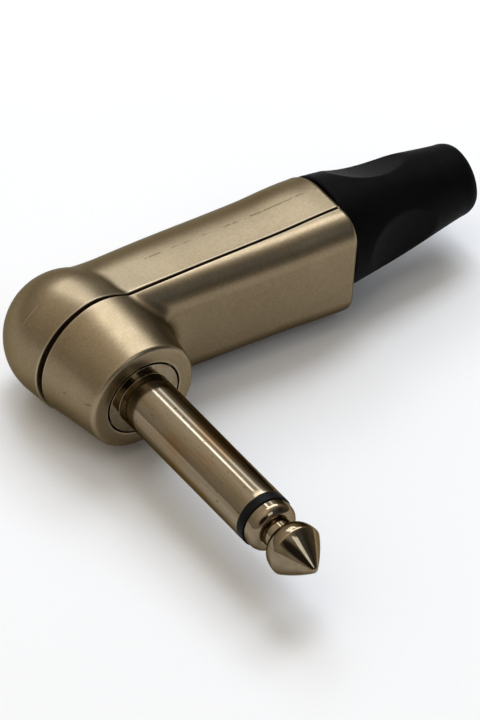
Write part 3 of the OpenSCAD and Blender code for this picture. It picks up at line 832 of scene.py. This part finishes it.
def makeTip():
    f = finger
    steps = 16              # points on each rounded stretch
    start = plug["sleeveLength"] + plug["ringLength"]
    shoulder = start + f["barrelLength"]
    neck = shoulder + f["shoulderLength"]
    flare = neck + f["neckLength"]
    head = flare + f["flareLength"]
    point = head + f["noseLength"]
    barrelR, neckR, headR, tipR = f["barrelDia"] / 2, f["neckDia"] / 2, f["headDia"] / 2, f["pointRound"]
    ballAt = point - tipR
    lean = math.atan2(headR - tipR, ballAt - head)
    rodR = plug["rodDia"] / 2
    back = f["rodBack"]
    edge = f["barrelRound"]
    out = [(-back - f["rivetLong"], 0.0), (-back - f["rivetLong"], f["rivetDia"] / 2),
           (-back, f["rivetDia"] / 2), (-back, rodR), (start, rodR),
           (start, barrelR - edge), (start + edge, barrelR), (shoulder - f["shoulderRound"], barrelR)]
    for i in range(steps + 1):
        a = math.pi / 2 * i / steps
        out.append((shoulder + f["shoulderLength"] * math.sin(a), neckR + (barrelR - neckR) * math.cos(a)))
    for i in range(steps + 1):
        a = math.pi / 2 * i / steps
        out.append((flare + f["flareLength"] * (1 - math.cos(a)), neckR + (headR - neckR) * math.sin(a)))
    endA, endR = ballAt + tipR * math.sin(lean), tipR * math.cos(lean)
    for i in range(1, 2 * steps):
        t = i / (2 * steps)
        out.append((head + (endA - head) * t,
                    headR + (endR - headR) * t + 4 * f["noseBulge"] * t * (1 - t)))
    for i in range(steps // 2 + 1):
        a = lean + (math.pi / 2 - lean) * i / (steps // 2)
        out.append((ballAt + tipR * math.sin(a), max(0.0, tipR * math.cos(a)) if i < steps // 2 else 0.0))
    points, faces = turnPiece(np.array(out), towardsPoint, (0, 0, 0), f["around"])
    piece = makePiece("tipPin", points, faces, polishedTip, "housing")
    sharpen(piece, 35)
    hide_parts("tip_pin")


makeSleeve()
makeRing()
makeTip()
print("finger made")


# gland with its thread, and the boot moulded on it

gland = {
    "threadLength": 5.6, "threadDia": 10.84, "threadDeep": 0.42, "pitch": 1.0,
    "flangeDia": 11.6, "flangeThick": 1.4, "tailDia": 9.0, "tailLength": 6.0,
    "boreDia": 7.0, "mouthDia": 9.1, "coneEndDia": 8.38, "coneLong": 5.05,
    "lead": 0.3, "leadLong": 0.35, "mouthRound": 0.1,       # chamfer and rounding of the front end
    "threadSkin": 0.35,     # the points that carry the ridges lie no further than this below the crest
    "flank": 2.6, "flat": 0.12,         # steepness of the ridges' flanks, and width of their roots
    "around": 96, "spacing": 1 / 12,    # points in each ring of the mesh, and along the profile
}
alongArmAxis = (1.0, 0.0, 0.0)
bootOrigin = (bootX, plug["armY"], 0)


def makeGland():
    g = gland
    front, coneEnd = -g["threadLength"], g["coneLong"] - g["threadLength"]
    flangeEnd = g["flangeThick"]
    tailEnd = flangeEnd + g["tailLength"]
    mouth, cone, bore, crest, flange, tail = (
        g[k] / 2 for k in ("mouthDia", "coneEndDia", "boreDia", "threadDia", "flangeDia", "tailDia"))
    profile = roundCorners([
        (front, mouth, g["mouthRound"]), (front, crest - g["lead"], g["mouthRound"]),
        (front + g["leadLong"], crest, 0), (-g["lead"], crest, 0), (0, crest, 0), (0, flange, 0),
        (flangeEnd, flange, 0), (flangeEnd, tail, 0), (tailEnd, tail, 0),
        (tailEnd, bore, 0), (coneEnd, bore, 0), (coneEnd, cone, 0),
    ])
    profile = fillProfile(profile, g["spacing"])

    def thread(place, radius, angle):
        # only the outside of the threaded stretch
        if not front + 0.1 < place < -0.05 or radius < crest - g["threadSkin"]:
            return radius
        phase = (place / g["pitch"] - angle / (2 * math.pi)) % 1.0
        ridge = min(1.0, max(0.0, g["flank"] * abs(phase - 0.5) - g["flat"]))
        return min(radius, crest - g["threadDeep"] * (1 - ridge))

    points, faces = turnPiece(profile, alongArmAxis, bootOrigin, g["around"], thread)
    piece = makePiece("glandNut", points, faces, blackPlastic, "gland")
    sharpen(piece, 40)
    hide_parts("gland_nut")


boot = {
    "frontDia": 13.3, "endDia": 7.96, "length": 18.58, "edge": 0.3, "boreRound": 0.1,
    "endLong": 1.7, "rim": 0.2,     # the end rounds off over this length, down to this ring round the bore
    "bulge": 0.15,                  # its outline swells by this much half-way between flange and rounded end
    "recesses": 3, "recessRound": 13.0, "recessDeep": 0.8, "recessAt": 9.0, "recessTurn": 28.0,
    "soften": 0.12,                 # rounding of the recesses' rims
    "around": 192, "spacing": 0.25,
}


def makeBoot():
    b, g = boot, gland
    r0, r1, long = b["frontDia"] / 2, b["endDia"] / 2, b["length"]
    bore = plug["cableDia"] / 2
    slope = (r1 - r0) / long
    atRecess = r0 + slope * b["recessAt"]
    centre = atRecess + b["recessRound"] - b["recessDeep"]
    foot, rim = long - b["endLong"], bore + b["rim"]

    def recess(place, radius, angle):
        # only the outside between its ends, not the seat of the gland
        if not 0.05 <= place <= foot or radius < max(bore + 0.7, r0 + slope * place - 0.5):
            return radius
        radius = radius + b["bulge"] * math.sin(math.pi * place / foot) ** 2
        out = radius
        for i in range(b["recesses"]):
            # measured from the underside, as in the solids
            middle = math.radians(360 * i / b["recesses"] - b["recessTurn"])
            turn = math.cos(angle - middle)
            away = b["recessRound"] ** 2 - (place - b["recessAt"]) ** 2
            if turn < 0.2 or away < 0:
                continue
            cut = (centre - math.sqrt(away)) / turn
            # the lower of both, its edge softened
            k = b["soften"]
            h = min(1.0, max(0.0, 0.5 + 0.5 * (out - cut) / k))
            out = out + (cut - out) * h - k * h * (1 - h)
        return min(radius, out)

    end, steps = [], 8
    for i in range(steps + 1):
        a = math.pi / 2 * i / steps
        end.append((foot + b["endLong"] * math.sin(a), rim + (r0 + slope * foot - rim) * math.cos(a), 0))
    flangeEnd, flange, tail = g["flangeThick"], g["flangeDia"] / 2, g["tailDia"] / 2
    tailEnd = flangeEnd + g["tailLength"]
    profile = roundCorners([
        (0, flange, 0), (0, r0, b["edge"]), *end, (long, bore, b["boreRound"]),
        (tailEnd, bore, 0), (tailEnd, tail, 0), (flangeEnd, tail, 0), (flangeEnd, flange, 0),
    ])
    profile = fillProfile(profile, b["spacing"])
    points, faces = turnPiece(profile, alongArmAxis, bootOrigin, b["around"], recess)
    piece = makePiece("rubberBoot", points, faces, rubber, "gland")
    sharpen(piece, 50)
    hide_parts("boot")


makeGland()
makeBoot()
print("gland and boot made")


# pieces whose solids are right as they are
carried = {
    "insulator_tube": clearPlastic, "rear_insulator": blackPlastic,
    "earth_tag": tinned, "tip_tag": tinned,
    "insulating_sleeve": blackPlastic, "cable_clamp": blackPlastic,
}
for node, material in carried.items():
    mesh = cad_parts[node].data
    mesh.materials.clear()
    mesh.materials.append(material)
print("solids given their finishes")


# floor and light

studio = {
    "floorColour": (0.93, 0.93, 0.93), "floorReach": 3.0,
    "aim": (0.012, 0.0, 0.0),
    # brightness of the room by height above the horizon, as (sine of the height, brightness)
    "room": [(0.0, 0.36), (0.5, 0.62), (0.87, 0.95), (1.0, 1.25)],
    "roomTint": (1.06, 0.985, 0.87),
    # dark cards in front, behind and beside: direction, cosines where the shade begins and is full, shade
    "cards": [((0.42, -0.62, 0.66), 0.62, 0.95, (0.17, 0.2, 0.25)),
              ((0.87, -0.33, 0.36), 0.80, 0.95, (0.4, 0.4, 0.4)),
              ((0.83, 0.52, 0.2), 0.89, 0.98, (0.2, 0.2, 0.2)),
              ((-0.48, -0.69, 0.54), 0.90, 0.965, (0.06, 0.06, 0.06))],
    "distance": 0.8,        # of the lamps from the aim
    # lamps: direction, size across and along, brightness, direction of the long side, tint
    "lamps": {
        "frontBar": ((0.36, 0.34, 0.869), (0.26, 0.66), 4.6, (-0.924, 0, 0.383), (0.93, 1.01, 1.14)),
        "backBar": ((0.204, 0.749, 0.633), (0.18, 0.38), 3.5, (-0.924, 0, 0.383), (0.93, 1.01, 1.14)),
        "strip": ((0.168, 0.593, 0.788), (0.095, 0.17), 4.6, (0, 1, 0), (0.88, 1.05, 1.35)),
        "sideStrip": ((0.467, 0.593, 0.657), (0.1, 0.34), 2.1, (0, 1, 0), (0.82, 1.05, 1.42)),
        "frontSpot": ((0.04, -0.644, 0.764), (0.30, 0.24), 2.2, (1, 0, 0), (0.93, 1.01, 1.14)),
    },
}


def addFloor():
    reach, low = studio["floorReach"], cadLow[2]
    mesh = bpy.data.meshes.new("floor")
    mesh.from_pydata([(-reach, -reach, low), (reach, -reach, low), (reach, reach, low), (-reach, reach, low)],
                     [], [(0, 1, 2, 3)])
    material, tree, shader = newMaterial("paleFloor")
    shader.inputs["Base Color"].default_value = studio["floorColour"] + (1.0,)
    shader.inputs["Roughness"].default_value = 0.9
    shader.inputs["Specular IOR Level"].default_value = 0.1
    mesh.materials.append(material)
    floor = bpy.data.objects.new("floor", mesh)
    bpy.context.scene.collection.objects.link(floor)


def addLamp(name, direction, size, brightness, along, tint):
    back = Vector(direction).normalized()
    long = Vector(along)
    long = (long - back * long.dot(back)).normalized()
    side = long.cross(back)
    data = bpy.data.lights.new(name, "AREA")
    data.shape = "RECTANGLE"
    data.size, data.size_y = size
    data.energy = brightness * math.pi * size[0] * size[1]
    data.color = tint
    lamp = bpy.data.objects.new(name, data)
    place = Matrix((side, long, back)).transposed().to_4x4()
    place.translation = Vector(studio["aim"]) + back * studio["distance"]
    lamp.matrix_world = place
    bpy.context.scene.collection.objects.link(lamp)


def addWorld():
    world = bpy.data.worlds.new("studio")
    bpy.context.scene.world = world
    world.use_nodes = True
    tree = world.node_tree
    background = tree.nodes["Background"]
    way = addNode(tree, "ShaderNodeTexCoord").outputs["Generated"]
    parts = addNode(tree, "ShaderNodeSeparateXYZ")
    tree.links.new(way, parts.inputs["Vector"])
    room = rampNode(tree, parts.outputs["Z"],
                    [(z, tuple(level * part for part in studio["roomTint"])) for z, level in studio["room"]])
    for direction, begins, full, shade in studio["cards"]:
        towards = dotNode(tree, way, Vector(direction).normalized())
        shaded = rangeNode(tree, towards, 0.0, 1.0, begins, full)
        room = mixNode(tree, room, shade + (1.0,), shaded, "MULTIPLY")
    tree.links.new(room, background.inputs["Color"])
    background.inputs["Strength"].default_value = 1.0


addFloor()
addWorld()
for name, lamp in studio["lamps"].items():
    addLamp(name, *lamp)
bpy.context.scene.view_settings.view_transform = "Standard"
print("floor and lights placed")
